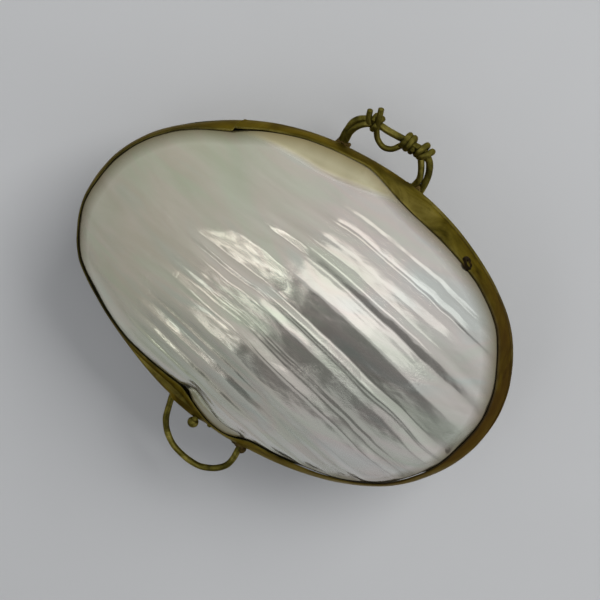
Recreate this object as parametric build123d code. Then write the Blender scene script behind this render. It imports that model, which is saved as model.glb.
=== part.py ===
"""Oval shell pill box: two mother-of-pearl domes held in brass bands, hinged at the rear.

Millimetres. +Z is up, with the lid on top. X is the long axis and Y the short one: the plain wire
loop and the thumb ball are at the front (-Y), the twisted handle and the hinge at the rear (+Y).
The origin is the centre of the small ground flat that the box stands on.
"""
from build123d import *
from math import cos, hypot, radians, sin, sqrt
import os

# Levels
BASE_BAND_BOTTOM = 7.2
BASE_BAND_TOP = 11.2
LID_BAND_BOTTOM = 11.3
LID_BAND_TOP = 15.3
LID_TOP = 23.7
BASE_APEX = -0.5            # the base dome would reach this low, but is ground flat at zero
WIDE = (-50, 50)            # a span wider than the box
OVERCUT = 1.0               # how far a cutting block runs past what it cuts

# Ovals of the bands' outer faces: half length, half width, centre x, centre y
BASE_BOTTOM_OVAL = (29.4, 21.4, 0.0, 0.0)
BASE_TOP_OVAL = (30.4, 22.4, 0.0, 0.0)
LID_BOTTOM_OVAL = (31.0, 23.0, 0.0, 0.0)
LID_TOP_OVAL = (29.2, 21.4, -1.2, 1.0)

WALL = 0.7                  # brass strip, measured level
SOLDER_GAP = 0.02           # what a solder film takes between two brass faces
SHELL = 1.2                 # nacre thickness
SHELL_FIT = 0.1             # shell edge inside the narrowest part of its band
RIM_HEIGHT = 0.8            # upright edge of a shell, below its dome
RIM_TO_BAND_EDGE = 0.2
CUT_DEPTH_RATIO = 0.535     # how high each dome is cut from its ellipsoid, as a part of its height
BEARER_THICKNESS = 0.6
BEARER_WIDTH = 2.4

LIP_OVAL = (28.95, 20.95, 0.0, 0.0)
LIP_WALL = 0.5
LIP_TOP = 12.6

# Hinge
HINGE_Y = 21.65
HINGE_Z = 10.3
BARREL_R = 0.72
BARREL_LENGTH = 10.2
LID_KNUCKLE_LENGTH = 3.4
KNUCKLE_GAP = 0.1
PIN_R = 0.35
PIN_RUNNING_GAP = 0.05
NOTCH_LENGTH = 10.6
NOTCH_BOTTOM = 9.3
LEAF_THICKNESS = 0.5
BASE_LEAF_LENGTH = 16.0
LID_LEAF_LENGTH = 10.0
LIP_GAP_LENGTH = 16.8
LEAF_EDGE_GAP = 0.2         # base leaf below the top of its band
LID_LEAF_EDGE_GAP = 0.05    # lid leaf inside its band and bearer
KNUCKLE_SWING_GAP = 0.15    # room in the base leaf for the lid's knuckle to turn
ARM_Y_SPAN = (-0.4, 0.45)   # arm from the lid leaf down to its knuckle, either side of the axis
ARM_OVERLAP = 0.2

# Pins that hold the shells
SHELL_PIN_R = 0.3
SHELL_PIN_LENGTH = 1.5
LID_PIN_ANGLES = (-20, -90, -150, 160, 110)
LID_EMPTY_HOLE_ANGLE = 60
BASE_PIN_ANGLES = (30, -30, -70, -150, 150)

# Front loop, thumb ball and catch
LOOP_WIRE_R = 0.5
LOOP_Z = 10.2
LOOP_ROUTE = ((-7.5, -20.8), (-7.7, -22.9), (-7.0, -26.0), (-5.3, -28.7), (-2.3, -30.3),
              (0.8, -30.3), (3.2, -28.9), (4.3, -26.2), (4.0, -21.2))
LEFT_SOLDER_R = 0.8
RIGHT_SOLDER_R = 0.95
BALL_CENTRE = (-3.35, -23.35, 12.0)
BALL_R = 0.72
STEM_R = 0.35
CATCH_X = -3.3
CATCH_LENGTH = 4.0
CATCH_STRIP_Y = -21.32
CATCH_STRIP_TOP = 12.7
CATCH_BEAD_R = 0.25
CATCH_BEAD_LENGTH = 3.0
CATCH_BEAD_Z = 12.0
CATCH_STRIP_RISE = 0.1      # catch strip above the foot of the lid band
STEM_LENGTH = 2.0

# Rear handle
HANDLE_Z = 7.9
BAR_R = 0.5
TWIST_R = 0.42
BAR_ROUTE = ((-6.3, 20.6), (-6.5, 23.2), (-6.0, 25.2), (-4.4, 26.1), (-2.0, 26.2), (0.6, 26.35),
             (2.7, 26.5), (4.3, 25.7), (5.2, 24.2), (5.5, 22.4), (5.5, 20.6))
STRAND_ROUTE = ((4.2, 20.6), (4.25, 22.2), (3.9, 23.8), (3.2, 25.0))
WRAP_STATIONS = (0.22, 0.52, 0.57, 0.665)
CURL_ROUTE = ((-4.6, 27.6, 9.1), (-4.1, 26.6, 9.0), (-3.5, 25.8, 8.9), (-3.1, 24.6, 8.2),
              (-2.2, 23.7, 7.9), (-1.1, 23.7, 7.9), (-0.5, 24.4, 7.9))
PRONG_ROUTE = ((-5.3, 26.35, 8.1), (-5.4, 26.8, 8.4), (-5.3, 27.5, 8.8))
HANDLE_SOLDER_R = 0.75
WRAP_PLAY = 0.03            # air between the bar and the wire wound round it

BASE_BEARER_BOTTOM = BASE_BAND_BOTTOM + RIM_TO_BAND_EDGE + RIM_HEIGHT
BASE_BEARER_TOP = BASE_BEARER_BOTTOM + BEARER_THICKNESS
LID_BEARER_TOP = LID_BAND_TOP - RIM_TO_BAND_EDGE - RIM_HEIGHT
LID_BEARER_BOTTOM = LID_BEARER_TOP - BEARER_THICKNESS
BASE_PIN_Z = BASE_BEARER_BOTTOM - RIM_HEIGHT / 2
LID_PIN_Z = LID_BEARER_TOP + RIM_HEIGHT / 2


def oval_between(low, low_z, high, high_z, z, inset=0.0):
    """The oval at level z of a wall that runs straight from one oval to another."""
    share = (z - low_z) / (high_z - low_z)
    half_length, half_width, x, y = (a + (b - a) * share for a, b in zip(low, high))
    return (half_length - inset, half_width - inset, x, y)


def base_oval(z, inset=0.0):
    return oval_between(BASE_BOTTOM_OVAL, BASE_BAND_BOTTOM, BASE_TOP_OVAL, BASE_BAND_TOP, z, inset)


def lid_oval(z, inset=0.0):
    return oval_between(LID_BOTTOM_OVAL, LID_BAND_BOTTOM, LID_TOP_OVAL, LID_BAND_TOP, z, inset)


def oval_face(oval, z):
    half_length, half_width, x, y = oval
    return Pos(x, y, z) * Ellipse(half_length, half_width)


def straight_block(oval, bottom, top):
    return extrude(oval_face(oval, bottom), top - bottom)


def tapered_block(oval_at, bottom, top, inset=0.0):
    """Everything inside a band's wall, or inside a face that is inset from it, between two levels."""
    return loft([oval_face(oval_at(bottom, inset), bottom), oval_face(oval_at(top, inset), top)], ruled=True)


def slab(x_span, y_span, z_span):
    size = [high - low for low, high in (x_span, y_span, z_span)]
    middle = [(high + low) / 2 for low, high in (x_span, y_span, z_span)]
    return Pos(*middle) * Box(*size)


def centred(length, x=0.0):
    return (x - length / 2, x + length / 2)


def x_rod(x, y, z, radius, length):
    return Pos(x, y, z) * Rot(0, 90, 0) * Cylinder(radius, length)


def ellipsoid(half_length, half_width, half_height):
    return scale(Sphere(1.0), by=(half_length, half_width, half_height))


def wire(points, radius):
    path = Spline(*points)
    return sweep(Plane(path @ 0, z_dir=path % 0) * Circle(radius), path=path)


def flat_route(route, z):
    return [(x, y, z) for x, y in route]


# Bands and the rings inside them

def base_band():
    band = tapered_block(base_oval, BASE_BAND_BOTTOM, BASE_BAND_TOP)
    band -= tapered_block(base_oval, BASE_BAND_BOTTOM, BASE_BAND_TOP, WALL)
    band -= slab(centred(NOTCH_LENGTH), (0, WIDE[1]), (NOTCH_BOTTOM, BASE_BAND_TOP + OVERCUT))
    return band - shell_pin_group(BASE_PIN_ANGLES, base_oval, BASE_PIN_Z)


def lid_band():
    band = tapered_block(lid_oval, LID_BAND_BOTTOM, LID_BAND_TOP)
    band -= tapered_block(lid_oval, LID_BAND_BOTTOM, LID_BAND_TOP, WALL)
    return band - shell_pin_group(LID_PIN_ANGLES + (LID_EMPTY_HOLE_ANGLE,), lid_oval, LID_PIN_Z)


def bearer(oval_at, bottom):
    """Flat ring soldered inside a band: the shell's edge is seated on it."""
    top = bottom + BEARER_THICKNESS
    ring = tapered_block(oval_at, bottom, top, WALL + SOLDER_GAP)
    opening = oval_at((bottom + top) / 2, WALL + BEARER_WIDTH)
    return ring - straight_block(opening, bottom - OVERCUT, top + OVERCUT)


def base_lip():
    """Upright ring inside the base band that the lid closes over, open where the hinge is."""
    half_length, half_width, x, y = LIP_OVAL
    inner = (half_length - LIP_WALL, half_width - LIP_WALL, x, y)
    lip = straight_block(LIP_OVAL, BASE_BEARER_TOP, LIP_TOP)
    lip -= straight_block(inner, BASE_BEARER_TOP, LIP_TOP)
    gap_levels = (BASE_BEARER_TOP - OVERCUT, LIP_TOP + OVERCUT)
    return lip - slab(centred(LIP_GAP_LENGTH), (0, half_width + OVERCUT), gap_levels)


# Shells

def dome(rim_oval, rim_z, apex_z, thickness=0.0):
    """An ellipsoid whose cut at rim_z is rim_oval and whose end is at apex_z, less a thickness."""
    half_length, half_width, x, y = rim_oval
    spread = sqrt(1 - CUT_DEPTH_RATIO ** 2)
    half_height = abs(apex_z - rim_z) / (1 - CUT_DEPTH_RATIO)
    centre_z = rim_z - (half_height * CUT_DEPTH_RATIO if apex_z > rim_z else -half_height * CUT_DEPTH_RATIO)
    body = ellipsoid(half_length / spread - thickness, half_width / spread - thickness, half_height - thickness)
    return Pos(x, y, centre_z) * body


def shell_rim_oval(band_edge_oval):
    half_length, half_width, x, y = band_edge_oval
    return (half_length - WALL - SHELL_FIT, half_width - WALL - SHELL_FIT, x, y)


def lid_shell():
    rim = shell_rim_oval(LID_TOP_OVAL)
    dome_z = LID_BAND_TOP - RIM_TO_BAND_EDGE
    bottom = dome_z - RIM_HEIGHT
    cap = dome(rim, dome_z, LID_TOP) & slab(WIDE, WIDE, (dome_z, LID_TOP + OVERCUT))
    shell = cap + straight_block(rim, bottom, dome_z) - dome(rim, dome_z, LID_TOP, SHELL)
    return shell - shell_pin_group(LID_PIN_ANGLES + (LID_EMPTY_HOLE_ANGLE,), lid_oval, LID_PIN_Z)


def base_shell():
    rim = shell_rim_oval(BASE_BOTTOM_OVAL)
    dome_z = BASE_BAND_BOTTOM + RIM_TO_BAND_EDGE
    top = dome_z + RIM_HEIGHT
    cap = dome(rim, dome_z, BASE_APEX) & slab(WIDE, WIDE, (0, dome_z))
    shell = cap + straight_block(rim, dome_z, top) - dome(rim, dome_z, BASE_APEX, SHELL)
    return shell - shell_pin_group(BASE_PIN_ANGLES, base_oval, BASE_PIN_Z)


def shell_pin_group(angles, oval_at, z):
    """Small pins through a band into its shell's edge, each square to the wall in plan."""
    half_length, half_width, x, y = oval_at(z)
    solids = []
    for angle in angles:
        along, across = cos(radians(angle)), sin(radians(angle))
        outward = (along / half_length, across / half_width)
        size = hypot(*outward)
        direction = Vector(outward[0] / size, outward[1] / size, 0)
        head = Vector(x + half_length * along, y + half_width * across, z)
        place = Plane(origin=head - direction * (SHELL_PIN_LENGTH / 2), z_dir=direction)
        solids.append(place * Cylinder(SHELL_PIN_R, SHELL_PIN_LENGTH))
    return Compound(children=solids)


# Hinge

def hinge_axis_rod(radius, length, x=0.0):
    return x_rod(x, HINGE_Y, HINGE_Z, radius, length)


def base_hinge_leaf():
    """Curved leaf inside the base band, with the two outer knuckles."""
    bottom, top = BASE_BEARER_TOP, BASE_BAND_TOP - LEAF_EDGE_GAP
    leaf = tapered_block(base_oval, bottom, top, WALL + SOLDER_GAP)
    leaf -= tapered_block(base_oval, bottom, top, WALL + SOLDER_GAP + LEAF_THICKNESS)
    leaf &= slab(centred(BASE_LEAF_LENGTH), (0, WIDE[1]), (bottom, top))
    middle = LID_KNUCKLE_LENGTH + 2 * KNUCKLE_GAP
    knuckle_length = (BARREL_LENGTH - middle) / 2
    for side in (-1, 1):
        leaf += hinge_axis_rod(BARREL_R, knuckle_length, side * (middle + knuckle_length) / 2)
    leaf -= hinge_axis_rod(BARREL_R + KNUCKLE_SWING_GAP, middle)
    return leaf - hinge_axis_rod(PIN_R, BARREL_LENGTH + OVERCUT)


def lid_hinge_leaf():
    """Curved leaf inside the lid band, with the middle knuckle below it."""
    bottom, top = LID_BAND_BOTTOM + LID_LEAF_EDGE_GAP, LID_BEARER_BOTTOM - LID_LEAF_EDGE_GAP
    leaf = tapered_block(lid_oval, bottom, top, WALL + SOLDER_GAP)
    leaf -= tapered_block(lid_oval, bottom, top, WALL + SOLDER_GAP + LEAF_THICKNESS)
    leaf &= slab(centred(LID_LEAF_LENGTH), (0, WIDE[1]), (bottom, top))
    arm_y_span = (HINGE_Y + ARM_Y_SPAN[0], HINGE_Y + ARM_Y_SPAN[1])
    leaf += slab(centred(LID_KNUCKLE_LENGTH), arm_y_span, (HINGE_Z, bottom + ARM_OVERLAP))
    leaf += hinge_axis_rod(BARREL_R, LID_KNUCKLE_LENGTH)
    return leaf - hinge_axis_rod(PIN_R + PIN_RUNNING_GAP, BARREL_LENGTH)


# Front loop, ball and catch

def base_block():
    """Everything inside the base band's outer face, to end the wires on the wall."""
    return tapered_block(base_oval, BASE_BAND_BOTTOM, BASE_BAND_TOP)


def front_loop():
    return wire(flat_route(LOOP_ROUTE, LOOP_Z), LOOP_WIRE_R) - base_block()


def root_point(route_start, route_next, z):
    """Where a leg that starts inside the base band comes out of its wall."""
    half_length, half_width, x, y = base_oval(z)
    crossing_x = (route_start[0] + route_next[0]) / 2
    side = 1 if route_start[1] > 0 else -1
    return (crossing_x, y + side * half_width * sqrt(1 - ((crossing_x - x) / half_length) ** 2), z)


def solder_pair(route, z, radii, wires):
    ends = (root_point(route[0], route[1], z), root_point(route[-1], route[-2], z))
    lumps = [Pos(*end) * Sphere(radius) - base_block() for end, radius in zip(ends, radii)]
    for piece in wires:
        lumps = [lump - piece for lump in lumps]
    return Compound(children=[largest(lump) for lump in lumps])


def largest(shape):
    return max(shape.solids(), key=lambda solid: solid.volume)


def front_loop_solder():
    return solder_pair(LOOP_ROUTE, LOOP_Z, (LEFT_SOLDER_R, RIGHT_SOLDER_R), [front_loop()])


def thumb_ball():
    x, y, z = BALL_CENTRE
    stem = Pos(x, y + STEM_LENGTH / 2, z) * Rot(90, 0, 0) * Cylinder(STEM_R, STEM_LENGTH)
    inside_lid = tapered_block(lid_oval, LID_BAND_BOTTOM, LID_BAND_TOP)
    return Pos(x, y, z) * Sphere(BALL_R) + (stem - inside_lid)


def lid_catch_strip():
    """Wedge inside the lid's front wall that presses past the bead on the base lip."""
    bottom = LID_BAND_BOTTOM + CATCH_STRIP_RISE
    wedge = tapered_block(lid_oval, bottom, CATCH_STRIP_TOP, WALL + SOLDER_GAP)
    return wedge & slab(centred(CATCH_LENGTH, CATCH_X), (WIDE[0], CATCH_STRIP_Y), (bottom, CATCH_STRIP_TOP))


def catch_bead():
    lip_block = straight_block(LIP_OVAL, BASE_BEARER_TOP, LIP_TOP + OVERCUT)
    half_length, half_width, x, y = LIP_OVAL
    face_y = y - half_width * sqrt(1 - (CATCH_X / half_length) ** 2)
    return x_rod(CATCH_X, face_y, CATCH_BEAD_Z, CATCH_BEAD_R, CATCH_BEAD_LENGTH) - lip_block


# Rear handle

def handle_bar():
    return wire(flat_route(BAR_ROUTE, HANDLE_Z), BAR_R) - base_block()


def handle_strand():
    """Short second wire beside the right leg."""
    return wire(flat_route(STRAND_ROUTE, HANDLE_Z), TWIST_R) - base_block() - handle_bar()


def handle_wraps():
    """Turns of wire round the bar."""
    path = Spline(*flat_route(BAR_ROUTE, HANDLE_Z))
    reach = BAR_R + TWIST_R + WRAP_PLAY
    turns = [Plane(origin=path @ share, z_dir=path % share) * Torus(reach, TWIST_R) for share in WRAP_STATIONS]
    return Compound(children=turns)


def handle_curl():
    """Hanging curl of wire that crosses over the bar and ends as an upright prong."""
    return largest(wire(CURL_ROUTE, TWIST_R) - handle_bar() - handle_wraps())


def handle_prong():
    return largest(wire(PRONG_ROUTE, TWIST_R) - handle_bar() - handle_wraps())


def rear_handle_solder():
    radii = (HANDLE_SOLDER_R, HANDLE_SOLDER_R)
    return solder_pair(BAR_ROUTE, HANDLE_Z, radii, [handle_bar(), handle_strand()])


NODES = {
    "base_shell": base_shell(),
    "base_band": base_band(),
    "base_bearer": bearer(base_oval, BASE_BEARER_BOTTOM),
    "base_lip": base_lip(),
    "base_shell_pins": shell_pin_group(BASE_PIN_ANGLES, base_oval, BASE_PIN_Z),
    "base_hinge_leaf": base_hinge_leaf(),
    "hinge_pin": hinge_axis_rod(PIN_R, BARREL_LENGTH),
    "front_loop": front_loop(),
    "front_loop_solder": front_loop_solder(),
    "catch_bead": catch_bead(),
    "handle_bar": handle_bar(),
    "handle_strand": handle_strand(),
    "handle_wraps": handle_wraps(),
    "handle_curl": handle_curl(),
    "handle_prong": handle_prong(),
    "rear_handle_solder": rear_handle_solder(),
    "lid_shell": lid_shell(),
    "lid_band": lid_band(),
    "lid_bearer": bearer(lid_oval, LID_BEARER_BOTTOM),
    "lid_shell_pins": shell_pin_group(LID_PIN_ANGLES, lid_oval, LID_PIN_Z),
    "lid_hinge_leaf": lid_hinge_leaf(),
    "lid_catch_strip": lid_catch_strip(),
    "thumb_ball": thumb_ball(),
}

os.makedirs("parts", exist_ok=True)
for name, shape in NODES.items():
    export_step(shape, f"parts/{name}.step")
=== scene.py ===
"""Looks of the oval shell pill box: ribbed mother-of-pearl in tarnished brass bands.

Shapes are worked out in millimetres, in the row frame: +X along the oval, +Y to the hinge, +Z up.
"""
import bmesh
import bpy
import math
import numpy as np
from mathutils import Matrix, Vector


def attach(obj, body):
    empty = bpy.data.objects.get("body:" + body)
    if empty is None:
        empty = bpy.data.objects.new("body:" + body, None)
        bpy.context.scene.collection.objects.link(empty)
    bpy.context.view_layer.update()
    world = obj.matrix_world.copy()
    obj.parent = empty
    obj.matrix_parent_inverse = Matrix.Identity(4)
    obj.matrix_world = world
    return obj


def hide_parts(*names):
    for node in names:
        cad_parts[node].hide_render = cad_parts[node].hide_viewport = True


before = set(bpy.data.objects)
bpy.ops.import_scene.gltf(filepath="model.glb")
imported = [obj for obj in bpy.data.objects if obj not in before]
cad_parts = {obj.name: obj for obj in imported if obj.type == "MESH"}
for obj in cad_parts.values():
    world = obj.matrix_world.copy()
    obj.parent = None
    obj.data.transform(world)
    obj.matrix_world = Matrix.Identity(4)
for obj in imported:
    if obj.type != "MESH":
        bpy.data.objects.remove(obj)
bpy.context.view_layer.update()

MM = 0.001
SEED = 7

# Ovals as half length, half width, centre x, centre y
LID_BOTTOM_OVAL = (31.0, 23.0, 0.0, 0.0)
LID_RIM = (28.4, 20.6, -1.2, 1.0)
BASE_RIM = (28.6, 20.6, 0.0, 0.0)

LID_BAND_Z = (11.3, 15.3)
WALL = 0.7                   # of the lid band at its foot
LID_DOME_Z = 15.1            # the planes where the shells' domes start, and their furthest points
LID_TOP = 23.7
BASE_DOME_Z = 7.4
BASE_APEX = -0.5             # cut off flat at the floor
RIM_HEIGHT = 0.8             # of the upright edge beyond each dome
CUT_DEPTH_RATIO = 0.535      # how far from its ellipsoid's middle a dome is cut, as a share of the tall axis
SHELL = 1.2


# ---------------------------------------------------------------- numbers

def smooth(t):
    t = np.clip(t, 0.0, 1.0)
    return t * t * (3 - 2 * t)


NOISE_CELLS = 64             # the lattice of random values repeats after this many
NOISE_START = (31.7, 17.3)   # where on the lattice x = 0, y = 0 falls


def noise(x, y, size, seed):
    """Smooth noise from -1 to 1 with lumps about as wide as size."""
    rng = np.random.default_rng(SEED + seed)
    cells = NOISE_CELLS
    table = rng.uniform(-1, 1, (cells, cells))
    u = np.asarray(x, float) / size + NOISE_START[0]
    v = np.asarray(y, float) / size + NOISE_START[1]
    i = np.floor(u).astype(int)
    j = np.floor(v).astype(int)
    fu = smooth(u - i)
    fv = smooth(v - j)
    a = table[i % cells, j % cells]
    b = table[(i + 1) % cells, j % cells]
    c = table[i % cells, (j + 1) % cells]
    d = table[(i + 1) % cells, (j + 1) % cells]
    return (a + (b - a) * fu) * (1 - fv) + (c + (d - c) * fu) * fv


def ripple(angle, seed, cycles, size):
    """A periodic wobble round an oval: a few sine waves with fixed random phases."""
    rng = np.random.default_rng(SEED + seed)
    total = 0.0
    for cycle in cycles:
        total = total + rng.uniform(0.5, 1.0) * np.sin(cycle * angle + rng.uniform(0, 2 * math.pi))
    return size * total / len(cycles)


def wander(knots, spread=3.0):
    """A periodic offset in millimetres from (degrees, offset) pairs, eased over a few degrees."""
    degrees = np.arange(720) / 2
    places, values = zip(*knots)
    offset = np.interp(degrees, places, values, period=360)
    reach = np.arange(-24, 25) / 2
    weight = np.exp(-0.5 * (reach / spread) ** 2)
    eased = sum(w * np.roll(offset, int(2 * r)) for w, r in zip(weight / weight.sum(), reach))
    return lambda angle: np.interp(np.degrees(angle) % 360, degrees, eased, period=360)


# Unevenness, listed as (degrees round the oval, millimetres outwards)
SHELL_WANDER = wander((
    (3, 0.9), (27, 1.1), (38, 1.7), (48, 1.6), (58, 1.2), (68, 0.7), (76, 0.5), (83, 0.9), (90, 1.8),
    (98, 1.6), (107, 1.4), (118, 0.8), (127, 0.1), (139, 0.5), (178, 0.5), (187, 0.95), (208, 1.15),
    (219, 0.25), (236, -0.4), (243, -1.0), (251, -1.5), (257.5, -1.9), (262, -1.1), (266, -0.3),
    (270, 0.4), (275, 0.7), (282, -0.3), (295, 0.4), (308, 1.5), (322, 2.1), (341, 1.45), (352, 0.8)), 1.5)
OUTLINE_WANDER = wander((
    (3, -0.7), (15, -0.6), (27, -0.35), (38, 0.1), (58, 0.1), (80, 0.4), (92, 0.15), (107, 0.1),
    (118, -0.15), (128, -0.5), (139, -0.7), (150, -0.4), (163, -0.2), (178, 0.2), (190, 0.5), (203, 0.55),
    (212, 0.3), (221, -0.4), (236, -0.5), (257, -0.1), (281, 0.1), (308, 0.7), (322, 0.7), (334, 0.1),
    (351, -0.45)))


def oval_point(oval, angle, out=0.0):
    """A point on an oval at an angle, moved outwards square to the oval."""
    half_length, half_width, x, y = oval
    across, along = np.cos(angle) / half_length, np.sin(angle) / half_width
    size = np.hypot(across, along)
    return (x + half_length * np.cos(angle) + out * across / size,
            y + half_width * np.sin(angle) + out * along / size)


# ---------------------------------------------------------------- mesh building

def mesh_piece(name, points, faces, body, nodes, material, sharp_angle=40.0, attributes=None):
    """A piece from points in millimetres, riding on a body and standing for the CAD nodes named."""
    mesh = bpy.data.meshes.new(name)
    mesh.from_pydata([tuple(p) for p in np.asarray(points) * MM], [], [tuple(f) for f in faces])
    edit = bmesh.new()
    edit.from_mesh(mesh)
    bmesh.ops.recalc_face_normals(edit, faces=edit.faces)
    edit.to_mesh(mesh)
    edit.free()
    mesh.polygons.foreach_set("use_smooth", [True] * len(mesh.polygons))
    mesh.set_sharp_from_angle(angle=math.radians(sharp_angle))
    for key, values in (attributes or {}).items():
        layer = mesh.attributes.new(key, "FLOAT", "POINT")
        layer.data.foreach_set("value", np.asarray(values, dtype=np.float32))
    piece = bpy.data.objects.new(name, mesh)
    bpy.context.scene.collection.objects.link(piece)
    mesh.materials.append(material)
    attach(piece, body)
    if nodes:
        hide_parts(*nodes)
    return piece


def grid_faces(rows, columns, first=0):
    index = first + np.arange(rows * columns).reshape(rows, columns)
    quads = np.stack([index[:-1, :-1], index[:-1, 1:], index[1:, 1:], index[1:, :-1]], -1)
    return quads.reshape(-1, 4).tolist()


def grid_edge(rows, columns, first=0):
    """The indices round the outside of a grid, in order."""
    index = first + np.arange(rows * columns).reshape(rows, columns)
    sides = [index[0, :-1], index[:-1, -1], index[-1, :0:-1], index[:0:-1, 0]]
    return np.concatenate(sides).tolist()


def strip_faces(loop_a, loop_b):
    count = len(loop_a)
    return [(loop_a[i], loop_a[(i + 1) % count], loop_b[(i + 1) % count], loop_b[i]) for i in range(count)]


def tube_faces(rings, sides):
    """Faces of a tube whose rings of points follow one another, closed at both ends."""
    faces = []
    for first in range(0, (rings - 1) * sides, sides):
        faces += strip_faces(range(first, first + sides), range(first + sides, first + 2 * sides))
    faces.append(tuple(range(sides))[::-1])
    faces.append(tuple(range((rings - 1) * sides, rings * sides)))
    return faces


def disc_grid(rows, columns):
    """A grid pulled out to fill the unit disc, with its outer edge on the circle."""
    u, v = np.meshgrid(np.linspace(-1, 1, columns), np.linspace(-1, 1, rows))
    return (u * np.sqrt(1 - v * v / 2)).ravel(), (v * np.sqrt(1 - u * u / 2)).ravel()


# ---------------------------------------------------------------- shells

def dome_axes(rim, height):
    half_length, half_width, x, y = rim
    spread = math.sqrt(1 - CUT_DEPTH_RATIO ** 2)
    return half_length / spread, half_width / spread, height / (1 - CUT_DEPTH_RATIO)


def dome_height(x, y, rim, height, thickness=0.0):
    """Height of an ellipsoid cap above its rim plane, or of the face inside it."""
    long_axis, short_axis, tall_axis = dome_axes(rim, height)
    reach = ((x - rim[2]) / (long_axis - thickness)) ** 2 + ((y - rim[3]) / (short_axis - thickness)) ** 2
    return (tall_axis - thickness) * np.sqrt(np.clip(1 - reach, 0, 1)) - tall_axis * CUT_DEPTH_RATIO


# The flat shoulders of the lid shell: which way the rim lies, the slope, and the crease behind it in plan
REAR_CREASE = ((-18.0, 17.8), (-16.0, 18.7), (-14.3, 19.3), (-11.9, 19.8), (-9.2, 20.1), (-6.3, 20.2),
               (-3.8, 20.6), (-1.3, 21.2), (1.2, 21.6), (3.2, 21.8), (6.2, 21.3), (9.0, 20.6),
               (11.5, 20.0), (13.5, 19.7))
FRONT_CREASE = ((-10.5, -18.9), (-8.6, -17.6), (-7.4, -17.1), (-4.9, -17.3), (-2.5, -17.6), (0.0, -18.0),
                (2.4, -18.4), (4.0, -19.0), (6.0, -20.2), (7.0, -21.5))
CREASES = ((1, 0.33, REAR_CREASE), (-1, 0.62, FRONT_CREASE))
SHOULDER_BLEND = 9.0         # how far up the dome a shoulder's drop fades out
CREASE_WIDTH = 0.55
DEEPEST_DROP = 3.0
SHOULDER_FADE = 1.2          # a shoulder shallower than this fades into the dome
NO_CREASE = 99.0             # a crease's place where there is none, far outside the shell

# Ribs: (place across them, height of the surface), from the hinge side to the front
RIB_PROFILE = (
    (22.5, 0.00), (19.2, 0.03), (18.55, -0.15), (18.0, 0.13), (17.2, 0.05), (16.8, -0.13), (16.0, 0.13),
    (15.1, 0.15), (13.7, -0.11), (13.1, 0.15), (12.8, 0.11), (11.8, -0.13), (11.3, 0.03), (10.6, 0.10),
    (10.4, 0.16), (9.4, 0.26), (9.0, 0.20), (5.75, -0.28), (4.95, 0.06), (4.6, 0.02), (4.35, -0.08),
    (3.2, 0.14), (0.75, -0.06), (0.5, -0.12), (0.2, -0.04), (-0.5, -0.12), (-1.9, 0.22), (-2.1, 0.12),
    (-4.9, 0.26), (-5.2, 0.22), (-6.9, -0.26), (-7.3, -0.18), (-8.3, -0.32), (-9.6, 0.00), (-11.5, -0.28),
    (-12.2, -0.04), (-14.0, -0.24), (-14.6, -0.03), (-16.0, -0.12), (-17.5, 0.00), (-24.0, 0.00),
)
RIB_SCALE = 1.25
RIB_ROUNDING = 0.12
RIB_STEP = 0.02              # between the eased profile's points


def warped(rim, p, q, out):
    """Plan positions of unit-disc points over an oval whose edge wanders outwards."""
    reach, angle = np.hypot(p, q), np.arctan2(q, p)
    edge_x, edge_y = oval_point(rim, angle, out(angle) if out else 0.0)
    plain_x, plain_y = oval_point(rim, angle)
    x, y = rim[2] + rim[0] * p, rim[3] + rim[1] * q
    return x + (edge_x - plain_x) * reach ** 3, y + (edge_y - plain_y) * reach ** 3


def rim_y(x, side):
    """How far the lid shell's wandering edge reaches in Y at each X, on the side asked for."""
    angle = side * np.linspace(0.02, math.pi - 0.02, 400)
    edge_x, edge_y = oval_point(LID_RIM, angle, SHELL_WANDER(angle))
    order = np.argsort(edge_x)
    return np.interp(x, edge_x[order], edge_y[order])


def crease_y(x, side, knots):
    """The crease's Y at each X, eased between its knots, or a place far outside where it has ended."""
    places = np.array(knots)
    fine = np.linspace(-35, 35, 701)
    line = np.interp(fine, places[:, 0], places[:, 1])
    ease = np.exp(-0.5 * (np.arange(-15, 16) / 6.0) ** 2)
    line = np.convolve(np.pad(line, 15, mode="edge"), ease / ease.sum(), mode="valid")
    inside = (x > places[0, 0]) & (x < places[-1, 0])
    return np.where(inside, np.interp(x, fine, line), side * NO_CREASE)


def rib_place(x, y):
    """Where a point lies across the ribs, which fan out and bend towards the front right."""
    return (y + 0.22 * x + 0.007 * x * x) / (1 + 0.009 * x)


def rib_table():
    """The rib profile with its corners eased, as places and heights."""
    fine = np.arange(-26, 25, RIB_STEP)
    places, heights = zip(*RIB_PROFILE[::-1])
    steps = np.arange(-30, 31)
    ease = np.exp(-0.5 * (steps * RIB_STEP / RIB_ROUNDING) ** 2)
    heights = np.interp(fine, places, heights)
    return fine, np.convolve(np.pad(heights, 30, mode="edge"), ease / ease.sum(), mode="valid")


def rib_height(x, y):
    """Ribs and growth lines, uneven along their length and fading in from the left end."""
    place = rib_place(x, y)
    shift = 0.20 * noise(x, place, 5.5, 1) + 0.07 * noise(x, place, 1.8, 2)
    height = np.interp(place + shift, *rib_table())
    start = -19 + 0.035 * np.clip(place + 2, 0, None) ** 2
    fade_in = smooth((x - start) / 7.0)
    uneven = 1 + 0.25 * noise(x, place * 2.0, 8.0, 3)
    growth = 0.014 * noise(np.hypot(x + 34, y - 6), np.arctan2(y - 6, x + 34) * 30, 1.5, 4)
    growth = growth + 0.022 * noise(x, place * 1.6, 4.2, 5) + 0.008 * noise(x, place * 3.0, 1.3, 6)
    growth = growth + 0.09 * noise(x, place * 4.5, 10.0, 8)
    return RIB_SCALE * (height * uneven + growth) * fade_in


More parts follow.
